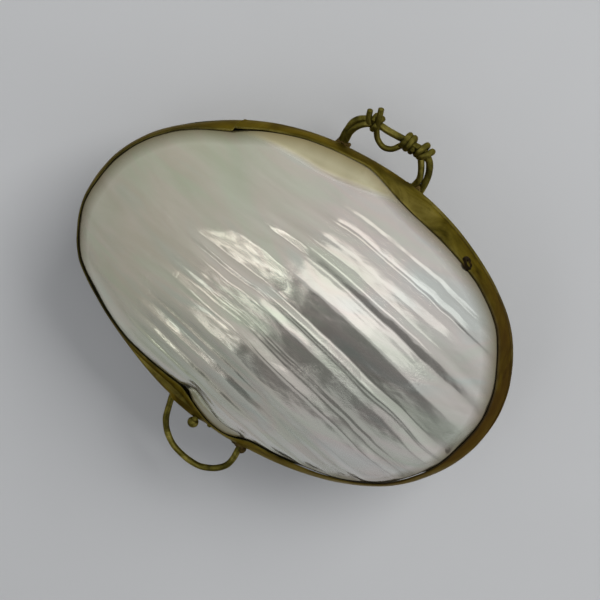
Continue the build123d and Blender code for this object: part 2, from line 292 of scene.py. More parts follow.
def shoulder_drop(x, y, side, slope, knots):
    """How far in from the rim points lie, how deep the shoulder is there, and how much it drops them."""
    edge = rim_y(x, side)
    line = crease_y(x, side, knots)
    depth = np.clip((edge - line) * side, 0, None)
    depth = np.where(np.abs(line) == NO_CREASE, 0.0, depth)
    inward = (edge - y) * side
    dome_y = LID_RIM[3] + (line - LID_RIM[3]) * 0.985
    at_crease = dome_height(x, dome_y, LID_RIM, LID_TOP - LID_DOME_Z)
    drop = np.where(depth > 0, np.clip(at_crease - slope * depth, 0, DEEPEST_DROP), 0.0)
    drop = drop * smooth(depth / SHOULDER_FADE)
    past = np.clip((inward - depth) / SHOULDER_BLEND, 0, 1)
    return inward, depth, drop * (1 - past) ** 3


def lid_outer(x, y, plain_x, plain_y):
    """Outer face of the lid shell: height, share of shoulder, height of rib, and share of the way in."""
    z = dome_height(plain_x, plain_y, LID_RIM, LID_TOP - LID_DOME_Z)
    shoulder = np.zeros_like(z)
    rib_share = np.ones_like(z)
    for side, slope, knots in CREASES:
        inward, depth, drop = shoulder_drop(x, y, side, slope, knots)
        lowered = z - drop
        shelf = np.minimum(z, slope * np.clip(inward, 0, None))
        on_dome = np.where(depth > 0, smooth((inward - depth) / CREASE_WIDTH + 0.5), 1.0)
        shown = smooth(depth / SHOULDER_FADE)
        z = shelf * (1 - on_dome) * shown + lowered * (1 - (1 - on_dome) * shown)
        shoulder = np.maximum(shoulder, (1 - on_dome) * shown)
        rib_share = rib_share * np.where(depth > 0, 1 - shown * (1 - smooth((inward - depth) / 0.5)), 1.0)
    edge = 1 - np.hypot((plain_x - LID_RIM[2]) / LID_RIM[0], (plain_y - LID_RIM[3]) / LID_RIM[1])
    ribs = rib_height(x, y) * rib_share * smooth(edge / 0.04)
    return LID_DOME_Z + z + ribs, shoulder, ribs, edge


def shell_mesh(name, outer, inner, rims, rim_z, grid, owner, material, extra=(), out=None):
    """A closed shell: an outer and an inner face over ovals, joined by an upright edge.

    outer gives heights and a value for each name in extra. owner is the body, the slot, which is not used,
    and the CAD node.
    """
    rim, inner_rim = rims
    p, q = disc_grid(*grid)
    x, y = warped(rim, p, q, out)
    result = outer(x, y, rim[2] + rim[0] * p, rim[3] + rim[1] * q)
    xi, yi = warped(inner_rim, p, q, out)
    inner_z = inner(xi, yi, inner_rim[2] + inner_rim[0] * p, inner_rim[3] + inner_rim[1] * q)
    edge = grid_edge(*grid)
    ring = np.stack([x[edge], y[edge], np.full(len(edge), rim_z)], -1)
    points = np.concatenate([np.stack([x, y, result[0]], -1), ring, np.stack([xi, yi, inner_z], -1)])
    count = len(p)
    inner_first = count + len(edge)
    ring_loop = list(range(count, inner_first))
    faces = grid_faces(*grid) + strip_faces(edge, ring_loop)
    faces += strip_faces(ring_loop, grid_edge(*grid, inner_first))
    faces += grid_faces(*grid, inner_first)
    attributes = {}
    for key, values in zip(extra, result[1:]):
        attributes[key] = np.zeros(len(points))
        attributes[key][:count] = values
    body, slot, node = owner
    return mesh_piece(name, points, faces, body, [node], material, 50.0, attributes)


def inner_rim_oval(rim, height):
    """Where the shell's inner face meets the plane of its lower edge."""
    long_axis, short_axis, tall_axis = dome_axes(rim, height)
    level = (tall_axis * CUT_DEPTH_RATIO - RIM_HEIGHT) / (tall_axis - SHELL)
    share = math.sqrt(1 - level ** 2)
    return ((long_axis - SHELL) * share, (short_axis - SHELL) * share, rim[2], rim[3])


def make_lid_shell(material):
    height = LID_TOP - LID_DOME_Z

    def inner(x, y, plain_x, plain_y):
        z = LID_DOME_Z + dome_height(plain_x, plain_y, LID_RIM, height, SHELL)
        for side, slope, knots in CREASES:
            inward, depth, drop = shoulder_drop(x, y, side, slope, knots)
            z = z - drop * smooth((inward - 0.9) / 2.6)
        return z

    grid = ((300, 430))
    rims = (LID_RIM, inner_rim_oval(LID_RIM, height))
    owner = ("lid", "ribbed_nacre", "lid_shell")
    return shell_mesh("lid_ribbed_shell", lid_outer, inner, rims, LID_DOME_Z - RIM_HEIGHT, grid, owner,
                      material, ("shoulder", "rib", "edge"), SHELL_WANDER)


def make_base_shell(material):
    height = BASE_DOME_Z - BASE_APEX

    def outer(x, y, plain_x, plain_y):
        growth = 0.05 * noise(x * 0.15, rib_place(x, -y), 1.1, 11) + 0.04 * noise(x, y, 6.0, 12)
        z = BASE_DOME_Z - dome_height(x, y, BASE_RIM, height)
        edge = 1 - np.hypot((x - BASE_RIM[2]) / BASE_RIM[0], (y - BASE_RIM[3]) / BASE_RIM[1])
        return (np.maximum(z + growth * smooth(edge / 0.05), 0.0),)

    def inner(x, y, plain_x, plain_y):
        return BASE_DOME_Z - dome_height(x, y, BASE_RIM, height, SHELL)

    grid = ((150, 210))
    rims = (BASE_RIM, inner_rim_oval(BASE_RIM, height))
    owner = ("base", "nacre", "base_shell")
    return shell_mesh("base_smooth_shell", outer, inner, rims, BASE_DOME_Z + RIM_HEIGHT, grid, owner,
                      material)


# ---------------------------------------------------------------- bands

LAP_ANGLE = math.radians(125.8)      # where the lid band's ends lap, rear left
ARC_PER_RADIAN = 25.0                # millimetres round the band near there
EDGE_THICKNESS = 0.24                # of the sheet at the lid band's top edge
EDGE_GAP = 0.05                      # between that edge and the shell
NOTCH_X = (-8.2, -1.6)               # thumb cut in the lid band's foot, at the front
NOTCH_DEPTH = 0.55
BELLY = 0.12                         # how far the band's face swells at half height
BAND_TURNS = 900                     # points round the band
PIN_HOLE_ANGLE = math.radians(57.5)
PIN_HOLE_SHARE = 0.86                # of the way up the band

# Rings of points up the band's outer face, as shares of its height, and how far a bead at its foot
# pushes them out. The inner face has rings of its own, each with the share of the wall it lies in at.
FACE_RINGS = (0.0, 0.03, 0.08, 0.12, 0.16, 0.22, 0.35, 0.5, 0.65, 0.8, 0.92, 0.98, 1.0)
BEAD_OUT = {0.0: 0.02, 0.03: 0.10, 0.08: 0.10, 0.12: -0.06, 0.16: -0.04}
EDGE_INSET = 0.05
INSIDE_RINGS = ((1.0, 0.85), (0.97, 1.0), (0.6, 1.0), (0.3, 1.0), (0.0, 1.0))


def band_foot(angle, out=0.0):
    return oval_point(LID_BOTTOM_OVAL, angle, OUTLINE_WANDER(angle) + out)


def band_top(angle, out=0.0):
    return oval_point(LID_RIM, angle, SHELL_WANDER(angle) + EDGE_THICKNESS + EDGE_GAP + out)


def lap_step(angle, size):
    """One end of a strip lying over the other: a sudden step out that eases away."""
    before = (LAP_ANGLE - angle) * ARC_PER_RADIAN
    over = np.where((before > 0) & (before < 40), size * np.exp(-np.clip(before, 0, None) / 4.5), 0.0)
    return over + 0.20 * np.exp(-(before / 0.22) ** 2)


def band_changes(angle):
    """What unevenness, the lap and the thumb notch add to the band's top, its foot and its wall."""
    x, y = band_foot(angle)
    top = ripple(angle, 21, (2, 3, 5, 9, 14), 0.12) + ripple(angle, 22, (23, 31, 47), 0.04)
    top = top - 0.06 + 0.10 * np.exp(-((LAP_ANGLE - angle) * ARC_PER_RADIAN / 0.5) ** 2)
    notch = smooth((x - NOTCH_X[0]) / 0.8) * smooth((NOTCH_X[1] - x) / 2.2) * (y < 0)
    wall = ripple(angle, 23, (11, 19, 29, 43), 0.06) + lap_step(angle, 0.32)
    return top, NOTCH_DEPTH * notch, wall


def band_profile(angle):
    """Rings round the band's section: share of the height, distance out, and share of the wall inwards."""
    bead = smooth((np.cos(angle - math.radians(40)) - 0.70) / 0.15)
    profile = []
    for share in FACE_RINGS:
        inset = EDGE_INSET if share in (0.0, 1.0) else 0.0
        profile.append((share, BEAD_OUT.get(share, 0.0) * bead - inset, 0.0))
    for share, depth in INSIDE_RINGS:
        profile.append((share, 0.0, depth))
    return profile


def make_lid_band(material):
    angle = np.arange(BAND_TURNS) / BAND_TURNS * 2 * math.pi
    top_change, foot_change, wall_change = band_changes(angle)
    profile = band_profile(angle)
    rows = []
    for share, shift, depth in profile:
        foot_x, foot_y = band_foot(angle, shift + wall_change * 0.4 - WALL * depth)
        top_x, top_y = band_top(angle, shift + wall_change - EDGE_THICKNESS * depth)
        belly = BELLY * math.sin(math.pi * share) * (1 - depth)
        z = LID_BAND_Z[0] + (LID_BAND_Z[1] - LID_BAND_Z[0]) * share
        z = z + top_change * share + foot_change * (1 - share)
        x = foot_x + (top_x - foot_x) * share
        y = foot_y + (top_y - foot_y) * share
        rows.append(np.stack([x + belly * np.cos(angle), y + belly * np.sin(angle), z], -1))
    points = np.stack(rows, 1).reshape(-1, 3)
    index = np.arange(len(points)).reshape(BAND_TURNS, len(profile))
    following = np.roll(index, -1, 0)
    quads = np.stack([index, following, np.roll(following, -1, 1), np.roll(index, -1, 1)], -1)
    faces = quads.reshape(-1, 4).tolist()
    return mesh_piece("lid_brass_band", points, faces, "lid", ["lid_band"], material, 45.0)


def make_pin_hole(material):
    """The burred hole that a lost shell pin left in the lid band: near black as painted shade of its depth,
    and grimy round it.
    """
    angle = PIN_HOLE_ANGLE
    foot = np.array([*band_foot(angle), LID_BAND_Z[0]])
    top = np.array([*band_top(angle), LID_BAND_Z[1]])
    centre = foot + (top - foot) * PIN_HOLE_SHARE
    along = np.array([-math.sin(angle), math.cos(angle), 0.0])
    outward = np.cross(along, (top - foot) / np.linalg.norm(top - foot))
    upward = np.cross(outward, along)
    profile = ((0.16, -0.02), (0.44, 0.02), (0.52, 0.26), (0.64, 0.32), (0.82, 0.18), (0.92, -0.15))
    sides = 32
    points = []
    for reach, height in profile:
        for turn in np.arange(sides) / sides * 2 * math.pi:
            ragged = 1 + 0.22 * float(noise(2.0 * math.cos(turn), 2.0 * math.sin(turn), 0.9, 90))
            across = (along * math.cos(turn) + upward * math.sin(turn)) * reach * ragged
            points.append(centre + across + outward * height * ragged)
    faces = tube_faces(len(profile), sides)
    return mesh_piece("lid_pin_hole", points, faces, "lid", ["lid_band"], material, 60.0)


# ---------------------------------------------------------------- wires

LOOP_Z = 10.2
HANDLE_Z = 7.9
LOOP_WIRE = 0.45             # radii of the wires
BAR_WIRE = 0.46
WOUND_WIRE = 0.42
LOOSE_WIRE = 0.38
WIRE_SIDES = 20
CAP_LEANS = (0.35, 0.7, 0.92)        # rings that round off a wire's end
CAP_REACH = 0.55                     # how far they go past it, as a share of the radius

# Routes of the wires, as listed points. The loop and the bar are level, and their points are in plan
LOOP_ROUTE = ((-7.6, -21.0), (-7.7, -22.5), (-7.3, -24.6), (-6.75, -26.6), (-5.65, -28.3),
              (-3.95, -29.65), (-1.9, -30.3), (0.0, -30.45), (1.5, -30.1), (3.0, -29.1), (4.0, -27.75),
              (4.3, -26.2), (4.2, -24.5), (4.0, -21.6))
BAR_ROUTE = ((-6.3, 20.7), (-6.4, 21.7), (-6.5, 23.2), (-6.35, 24.7), (-5.6, 25.7), (-4.4, 26.2),
             (-2.1, 26.2), (0.0, 26.35), (1.5, 26.4), (2.7, 26.5), (3.6, 26.2), (4.45, 25.6), (5.1, 24.4),
             (5.4, 23.0), (5.5, 20.9))
# These two have heights above the bar's
SECOND_ROUTE = ((3.9, 20.9, 0.0), (4.4, 22.0, 0.1), (4.5, 23.2, 0.2), (4.0, 24.4, 0.2), (3.3, 25.5, 0.3))
DOUBLED_ROUTE = ((-5.7, 21.0, 0.0), (-5.95, 22.2, 0.1), (-6.0, 23.4, 0.3), (-5.7, 24.5, 0.4),
                 (-5.0, 25.4, 0.3), (-4.3, 25.8, 0.1))
CURL_ROUTE = ((-4.2, 28.5, 9.2), (-3.9, 27.6, 9.1), (-3.65, 26.7, 8.85), (-3.35, 25.7, 8.5),
              (-2.6, 24.6, 8.1), (-1.5, 24.1, 8.0), (-0.5, 24.45, 8.0), (0.15, 25.3, 7.9), (0.5, 25.9, 7.5))
PRONG_ROUTE = ((-4.6, 26.0, 8.6), (-5.0, 26.6, 8.75), (-5.3, 27.5, 8.9))

# Wire wound round the bar: first and last distance along it, turns, radius, and where the first turn starts
WINDINGS = (
    (6.7, 7.5, 1.2, 0.84, 2.0),
    (11.3, 12.7, 2.1, 0.84, 0.6),
    (13.4, 15.0, 2.0, 0.86, 5.9),
)

# Lumps of solder: middle, with its height above the wire, and half sizes
LOOP_SOLDER = (
    ((-7.5, -21.9, 0.0), (0.75, 0.9, 0.6)),
    ((4.1, -23.0, 0.1), (0.9, 1.0, 0.7)),
    ((3.3, -23.2, 0.2), (0.6, 0.6, 0.5)),
    ((4.6, -24.0, 0.0), (0.5, 0.6, 0.5)),
    ((2.9, -22.4, 0.0), (0.8, 0.6, 0.6)),
)
HANDLE_SOLDER = (
    ((-6.3, 21.6, 0.0), (0.7, 0.7, 0.55)),
    ((-5.6, 21.5, 0.2), (0.55, 0.6, 0.5)),
    ((4.9, 21.6, 0.0), (0.85, 0.75, 0.6)),
    ((4.0, 21.4, 0.1), (0.7, 0.55, 0.5)),
)
SOLDER_ROUGHNESS = 0.3

BALL_CENTRE = (-3.2, -23.45, 12.0)
BALL_RADIUS = 0.78
BALL_SIDES = 36


def lifted(route, z):
    """A route's points with a height added: level if they have none of their own."""
    return [(point[0], point[1], z + point[2] if len(point) == 3 else z) for point in route]


def spline_points(route, per_span=10):
    """Points on a smooth curve through the route's points."""
    route = np.array(route, float)
    padded = np.vstack([2 * route[0] - route[1], route, 2 * route[-1] - route[-2]])
    out = []
    for k in range(1, len(padded) - 2):
        a, b, c, d = padded[k - 1:k + 3]
        for t in np.arange(per_span) / per_span:
            out.append(0.5 * (2 * b + (c - a) * t + (2 * a - 5 * b + 4 * c - d) * t * t
                              + (3 * b - a - 3 * c + d) * t ** 3))
    out.append(route[-1])
    return np.array(out)


def distances_along(path):
    return np.concatenate([[0], np.cumsum(np.linalg.norm(np.diff(path, axis=0), axis=1))])


def cap_ring(ring, along, radius, lean):
    """A smaller ring past the one given, for a wire's rounded end."""
    centre, size, normal, binormal = ring
    return centre + along * radius * CAP_REACH * lean, size * math.sqrt(1 - lean * lean), normal, binormal


def wire_rings(path, radius, seed):
    """Rings down a wire as (centre, radius, normal, binormal), its ends rounded off."""
    tangent = np.gradient(path, axis=0)
    tangent /= np.linalg.norm(tangent, axis=1)[:, None]
    normal = np.cross(tangent[0], (0.0, 0.0, 1.0))
    if np.linalg.norm(normal) < 0.1:
        normal = np.cross(tangent[0], (0.0, 1.0, 0.0))
    normal /= np.linalg.norm(normal)
    length = distances_along(path)
    rings = []
    for k, centre in enumerate(path):
        normal = normal - tangent[k] * np.dot(normal, tangent[k])
        normal /= np.linalg.norm(normal)
        size = radius * (1 + 0.05 * float(noise(length[k], 3.0, 1.3, 40 + seed)))
        rings.append((centre, size, normal, np.cross(tangent[k], normal)))
    start = [cap_ring(rings[0], -tangent[0], radius, lean) for lean in CAP_LEANS[::-1]]
    end = [cap_ring(rings[-1], tangent[-1], radius, lean) for lean in CAP_LEANS]
    return start + rings + end


def tube_points(path, radius, seed):
    """Points of a slightly dented wire, ring by ring."""
    points = []
    for k, (centre, size, normal, binormal) in enumerate(wire_rings(path, radius, seed)):
        for side in range(WIRE_SIDES):
            turn = 2 * math.pi * side / WIRE_SIDES
            across = math.cos(turn) * normal + math.sin(turn) * binormal
            dent = 1 + 0.03 * float(noise(k * 0.35, side * 1.7, 1.5, 50 + seed))
            points.append(centre + across * size * dent)
    return np.array(points)


def wire_piece(name, paths, radius, nodes, material, seed):
    points = []
    faces = []
    first = 0
    for number, path in enumerate(paths):
        wire = tube_points(path, radius, seed + number)
        faces += [tuple(i + first for i in face) for face in tube_faces(len(wire) // WIRE_SIDES, WIRE_SIDES)]
        points.append(wire)
        first += len(wire)
    return mesh_piece(name, np.concatenate(points), faces, "base", nodes, material, 50.0)


def coil_round(path, start, end, turns, radius, phase):
    """Turns of wire round a stretch of a path, from one distance along it to another."""
    length = distances_along(path)
    count = int(turns * 22) + 1
    out = []
    for k in range(count):
        share = k / (count - 1)
        at = start + (end - start) * share
        centre = np.array([np.interp(at, length, path[:, axis]) for axis in range(3)])
        ahead = np.array([np.interp(at + 0.2, length, path[:, axis]) for axis in range(3)])
        along = ahead - centre
        along /= np.linalg.norm(along)
        side = np.cross(along, (0.0, 0.0, 1.0))
        side /= np.linalg.norm(side)
        up = np.cross(side, along)
        turn = phase + 2 * math.pi * turns * share
        out.append(centre + radius * (math.cos(turn) * side + math.sin(turn) * up))
    return np.array(out)


def lump_mesh(name, lumps, z, nodes, material, seed):
    """Lumps of solder: closed round forms pushed in and out by noise."""
    points = []
    faces = []
    first = 0
    rough = SOLDER_ROUGHNESS
    for number, (middle, size) in enumerate(lumps):
        ball = bmesh.new()
        bmesh.ops.create_icosphere(ball, subdivisions=4, radius=1.0)
        form = np.array([v.co for v in ball.verts])
        swell = 1 + rough * noise(form[:, 0] * 3 + number * 9, form[:, 1] * 3 + form[:, 2] * 2, 1.0, seed)
        swell += 0.5 * rough * noise(form[:, 2] * 7 + number, form[:, 0] * 7 - form[:, 1] * 5, 1.0, seed + 1)
        points.append(form * swell[:, None] * np.array(size) + np.array(lifted([middle], z)[0]))
        faces += [tuple(v.index + first for v in f.verts) for f in ball.faces]
        first += len(form)
        ball.free()
    return mesh_piece(name, np.concatenate(points), faces, "base", nodes, material, 60.0)


def make_front_loop(wire, solder):
    loop = spline_points(lifted(LOOP_ROUTE, LOOP_Z))
    wire_piece("front_wire_loop", [loop], LOOP_WIRE, ["front_loop"], wire, 1)
    lump_mesh("front_solder", LOOP_SOLDER, LOOP_Z, ["front_loop_solder"], solder, 60)


def make_rear_handle(wire, solder):
    bar = spline_points(lifted(BAR_ROUTE, HANDLE_Z))
    second = spline_points(lifted(SECOND_ROUTE, HANDLE_Z))
    doubled = spline_points(lifted(DOUBLED_ROUTE, HANDLE_Z))
    wound = [doubled] + [coil_round(bar, *winding) for winding in WINDINGS]
    wire_piece("handle_main_wire", [bar], BAR_WIRE, ["handle_bar"], wire, 3)
    wire_piece("handle_second_wire", [second], WOUND_WIRE, ["handle_strand"], wire, 5)
    wire_piece("handle_wound_turns", wound, WOUND_WIRE, ["handle_wraps"], wire, 7)
    wire_piece("handle_hanging_curl", [spline_points(CURL_ROUTE)], LOOSE_WIRE, ["handle_curl"], wire, 11)
    wire_piece("handle_upright_end", [spline_points(PRONG_ROUTE)], LOOSE_WIRE, ["handle_prong"], wire, 13)
    lump_mesh("rear_solder", HANDLE_SOLDER, HANDLE_Z, ["rear_handle_solder"], solder, 70)


def make_thumb_ball(material):
    """A small ball on a stem, turned about a line that points out of the front."""
    profile = [(2.0, 0.001), (2.0, 0.34), (1.0, 0.33), (0.78, 0.40)]
    for turn in np.linspace(0.62, math.pi - 0.05, 22):
        profile.append((BALL_RADIUS * math.cos(turn), BALL_RADIUS * math.sin(turn)))
    points = []
    for along, out in profile:
        for side in range(BALL_SIDES):
            turn = 2 * math.pi * side / BALL_SIDES
            reach = out * (1 + 0.03 * float(noise(along * 3, side * 0.6, 1.0, 80)))
            points.append(np.array(BALL_CENTRE) + (reach * math.cos(turn), along, reach * math.sin(turn)))
    faces = tube_faces(len(profile), BALL_SIDES)
    return mesh_piece("thumb_piece", points, faces, "lid", ["thumb_ball"], material, 60.0)


# ---------------------------------------------------------------- materials

NACRE_MIRROR = 0.84      # how far nacre's own layers act as a mirror
SHOULDER_MIRROR = 0.15   # the same where the surface is worn flat
RIB_LEAN = math.radians(14)
RANGE_SOCKETS = ("From Min", "From Max", "To Min", "To Max")


class Shader:
    """A node material with a few short ways to add nodes to it."""

    def __init__(self, name):
        self.material = bpy.data.materials.new(name)
        self.material.use_nodes = True
        self.nodes = self.material.node_tree.nodes
        self.links = self.material.node_tree.links
        self.surface = self.nodes["Principled BSDF"]
        self.place = self.nodes.new("ShaderNodeTexCoord").outputs["Object"]

    def put(self, socket, value):
        if isinstance(value, bpy.types.NodeSocket):
            self.links.new(value, socket)
        else:
            socket.default_value = value

    def stretched(self, scale, turn=0.0):
        node = self.nodes.new("ShaderNodeMapping")
        node.inputs["Scale"].default_value = scale
        node.inputs["Rotation"].default_value = (0, 0, turn)
        self.links.new(self.place, node.inputs["Vector"])
        return node.outputs["Vector"]

    def noise(self, scale, detail=4.0, roughness=0.55, distortion=0.0, vector=None):
        node = self.nodes.new("ShaderNodeTexNoise")
        node.inputs["Scale"].default_value = scale
        node.inputs["Detail"].default_value = detail
        node.inputs["Roughness"].default_value = roughness
        node.inputs["Distortion"].default_value = distortion
        self.links.new(vector or self.place, node.inputs["Vector"])
        return node.outputs["Fac"]

    def ramp(self, value, stops):
        node = self.nodes.new("ShaderNodeValToRGB")
        ramp = node.color_ramp
        while len(ramp.elements) < len(stops):
            ramp.elements.new(0.5)
        for element, (place, colour) in zip(ramp.elements, stops):
            element.position = place
            element.color = colour if len(colour) == 4 else (*colour, 1.0)
        self.links.new(value, node.inputs["Fac"])
        return node.outputs["Color"]

    def spread(self, value, low, high, out_low, out_high):
        node = self.nodes.new("ShaderNodeMapRange")
        for name, number in zip(RANGE_SOCKETS, (low, high, out_low, out_high)):
            node.inputs[name].default_value = number
        self.links.new(value, node.inputs["Value"])
        return node.outputs["Result"]

    def mix(self, share, a, b, mode="MIX"):
        node = self.nodes.new("ShaderNodeMix")
        node.data_type = "RGBA"
        node.blend_type = mode
        self.put(node.inputs["Factor"], share)
        self.put(node.inputs[6], a)
        self.put(node.inputs[7], b)
        return node.outputs[2]

    def math(self, operation, a, b):
        node = self.nodes.new("ShaderNodeMath")
        node.operation = operation
        self.put(node.inputs[0], a)
        self.put(node.inputs[1], b)
        return node.outputs[0]

    def axis(self, name):
        node = self.nodes.new("ShaderNodeSeparateXYZ")
        self.links.new(self.place, node.inputs["Vector"])
        return node.outputs[name]

    def attribute(self, name):
        node = self.nodes.new("ShaderNodeAttribute")
        node.attribute_name = name
        return node.outputs["Fac"]

    def bump(self, height, strength, distance, below=None):
        node = self.nodes.new("ShaderNodeBump")
        node.inputs["Strength"].default_value = strength
        node.inputs["Distance"].default_value = distance
        self.links.new(height, node.inputs["Height"])
        if below is not None:
            self.links.new(below, node.inputs["Normal"])
        return node.outputs["Normal"]


def rgb(red, green, blue):
    """An sRGB colour, each part from 0 to 255, as linear values with alpha."""
    def linear(part):
        part /= 255
        return part / 12.92 if part <= 0.04045 else ((part + 0.055) / 1.055) ** 2.4
    return (linear(red), linear(green), linear(blue), 1.0)


def nacre_colour(shader):
    """Greenish at the left, greyer to the right, streaked along the ribs and tinted by thin layers."""
    broad = shader.noise(45.0, 3.0, 0.5, 0.6)
    along = shader.noise(60.0, 4.0, 0.6, 0.4, shader.stretched((1.0, 6.0, 2.0), RIB_LEAN))
    sheen = shader.noise(80.0, 2.0, 0.5, 1.2, shader.stretched((0.6, 2.2, 1.0), RIB_LEAN))
    green = shader.ramp(broad, [(0.30, rgb(214, 216, 190)), (0.50, rgb(222, 220, 196)),
                                (0.70, rgb(226, 218, 200))])
    grey = shader.ramp(broad, [(0.30, rgb(222, 224, 214)), (0.50, rgb(228, 228, 220)),
                               (0.70, rgb(232, 226, 222))])
    streaks = shader.ramp(along, [(0.35, rgb(186, 192, 170)), (0.65, rgb(240, 238, 230))])
    tints = shader.ramp(sheen, [(0.30, rgb(222, 236, 222)), (0.43, rgb(232, 232, 228)),
                                (0.55, rgb(242, 226, 230)), (0.70, rgb(222, 232, 238))])
    colour = shader.mix(shader.spread(shader.axis("X"), -0.020, 0.012, 0.0, 1.0), green, grey)
    colour = shader.mix(0.18, colour, streaks)
    return shader.mix(0.5, colour, tints, "MULTIPLY")


def wear_and_shade_colour(shader, colour):
    """Nacre with painted shade between the ribs, cream on the flat shoulders and painted shade and brass
    reflection at the rim.
    """
    # Painted shade: the rib valleys are darkened by their depth
    deep = shader.spread(shader.attribute("rib"), -0.24, 0.05, 1.0, 0.0)
    cream = shader.ramp(shader.noise(120.0, 3.0), [(0.35, rgb(138, 132, 98)), (0.65, rgb(164, 158, 124))])
    # Painted shade and brass reflection: a brownish olive line on the shell where it meets the band
    rim_shade = shader.spread(shader.attribute("edge"), 0.0, 0.06, 0.85, 0.0)
    colour = shader.mix(shader.math("MULTIPLY", deep, 0.20), colour, rgb(150, 148, 132))
    colour = shader.mix(shader.math("MULTIPLY", shader.attribute("shoulder"), 0.9), colour, cream)
    return shader.mix(rim_shade, colour, rgb(112, 98, 54))


def nacre_finish(shader):
    """A clear coat over a nearly smooth surface, with fine scratches and a few broken patches."""
    surface = shader.surface
    scratches = shader.noise(420.0, 6.0, 0.7, 0.5)
    patches = shader.spread(shader.noise(110.0, 2.0), 0.56, 0.64, 0.0, 1.0)
    scratched = shader.spread(scratches, 0.3, 0.7, 0.13, 0.20)
    rough = shader.math("ADD", scratched, shader.math("MULTIPLY", patches, 0.04))
    shader.put(surface.inputs["Roughness"], rough)
    surface.inputs["Coat Weight"].default_value = 0.5
    surface.inputs["Coat Roughness"].default_value = 0.04
    fine = shader.noise(900.0, 5.0, 0.7, 0.3, shader.stretched((0.35, 1.6, 1.0), RIB_LEAN))
    broken = shader.math("MULTIPLY", patches, shader.noise(1500.0, 4.0, 0.75, 0.8))
    normal = shader.bump(fine, 0.08, 0.0002)
    normal = shader.bump(broken, 0.30, 0.00025, normal)
    shader.links.new(normal, surface.inputs["Normal"])


def nacre_material(name, ribbed):
    shader = Shader(name)
    surface = shader.surface
    colour = nacre_colour(shader)
    if ribbed:
        colour = wear_and_shade_colour(shader, colour)
        mirror = shader.spread(shader.attribute("shoulder"), 0.0, 1.0, NACRE_MIRROR, SHOULDER_MIRROR)
        shader.put(surface.inputs["Metallic"], mirror)
    else:
        surface.inputs["Metallic"].default_value = NACRE_MIRROR
    shader.put(surface.inputs["Base Color"], colour)
    nacre_finish(shader)
    return shader.material


def darkened_band_ends(shader, colour):
    """Darker ends on the lid band: brown at its right end, and dark olive at its left, which is painted
    shade where the band reflects the shadowed floor.
    """
    wavering = shader.spread(shader.noise(160.0, 4.0), 0.3, 0.7, -0.006, 0.006)
    place = shader.math("ADD", shader.axis("X"), wavering)
    # Darker towards the ends: brown at the right end; at the left end, painted shade in dark olive
    colour = shader.mix(shader.spread(place, 0.012, 0.028, 0.0, 0.85), colour, rgb(82, 64, 44))
    return shader.mix(shader.spread(place, -0.012, -0.024, 0.0, 0.65), colour, rgb(58, 54, 32))


def brass_material(name, tones, scale=1.0, roughness=(0.30, 0.50), metallic=0.85, ends_darkened=False):
    """Tarnished metal mottled between three tones, dark to light. scale is how fine the mottling is."""
    shader = Shader(name)
    surface = shader.surface
    dark, middle, light = tones
    stain = shader.noise(230.0 * scale, 6.0, 0.62, 0.8)
    speck = shader.noise(1500.0 * scale, 4.0, 0.7)
    colour = shader.ramp(stain, [(0.30, dark), (0.50, middle), (0.72, light)])
    colour = shader.mix(shader.spread(speck, 0.55, 0.75, 0.0, 0.55), colour, dark)
    # Darkened ends on the lid band, the left one painted shade
    if ends_darkened:
        colour = darkened_band_ends(shader, colour)
    shader.put(surface.inputs["Base Color"], colour)
    surface.inputs["Metallic"].default_value = metallic
    surface.inputs["Specular Tint"].default_value = rgb(196, 178, 110)
    shader.put(surface.inputs["Roughness"], shader.spread(stain, 0.3, 0.7, roughness[1], roughness[0]))
    normal = shader.bump(stain, 0.25, 0.0003)
    normal = shader.bump(speck, 0.20, 0.0001, normal)
    shader.links.new(normal, surface.inputs["Normal"])
    return shader.material


def floor_material():
    shader = Shader("pale_floor")
    grain = shader.noise(18.0, 3.0)
    colour = shader.ramp(grain, [(0.3, rgb(184, 185, 187)), (0.7, rgb(187, 188, 190))])
    shader.put(shader.surface.inputs["Base Color"], colour)
    shader.surface.inputs["Roughness"].default_value = 0.9
    return shader.material


# ---------------------------------------------------------------- studio

CAMERA_TILT = math.radians(27.0)
CAMERA_ROLL = math.radians(-147.2)
CAMERA_DISTANCE = 174.6
CAMERA_TARGET = (0.12, 2.63, 14.0)
FIELD_OF_VIEW = math.radians(25.0)
SENSOR = 36.0
FLOOR_HALF = 1.6
SKY_COLOUR = (0.97, 0.985, 1.0, 1.0)

# The main light: place, size and watts
WINDOW = ((0.24, 0.68, 0.44), (0.50, 0.36), 7.0)

# Flat panels overhead: place, size, watts. The narrow ones draw thin streaks along the ribs
PANELS = (
    ("ceiling", (0.19, 0.24, 0.72), (0.40, 0.34), 0.28),
    ("far_ceiling", (0.56, 0.22, 0.72), (0.34, 0.34), 0.16),
    ("front_strip", (-0.19, -0.30, 0.72), (0.25, 0.065), 0.090),
    ("left_strip", (-0.21, -0.13, 0.72), (0.25, 0.06), 0.080),
    ("low_strip", (-0.20, -0.62, 0.72), (0.26, 0.07), 0.070),
)

# Edges of the dark part of the room, as parts of a direction along X and Y: fade in, fade out
DARK_X = (-0.06, 0.02, 0.60, 0.78)
DARK_Y = (-0.80, -0.68, -0.34, -0.22)
DARK_SHARE = 0.15            # of the room's light left there
ROOM_FACING = (0.25, 0.95, 0.2)      # the room brightens this way
ROOM_LOW = 0.40
ROOM_HIGH = 0.52


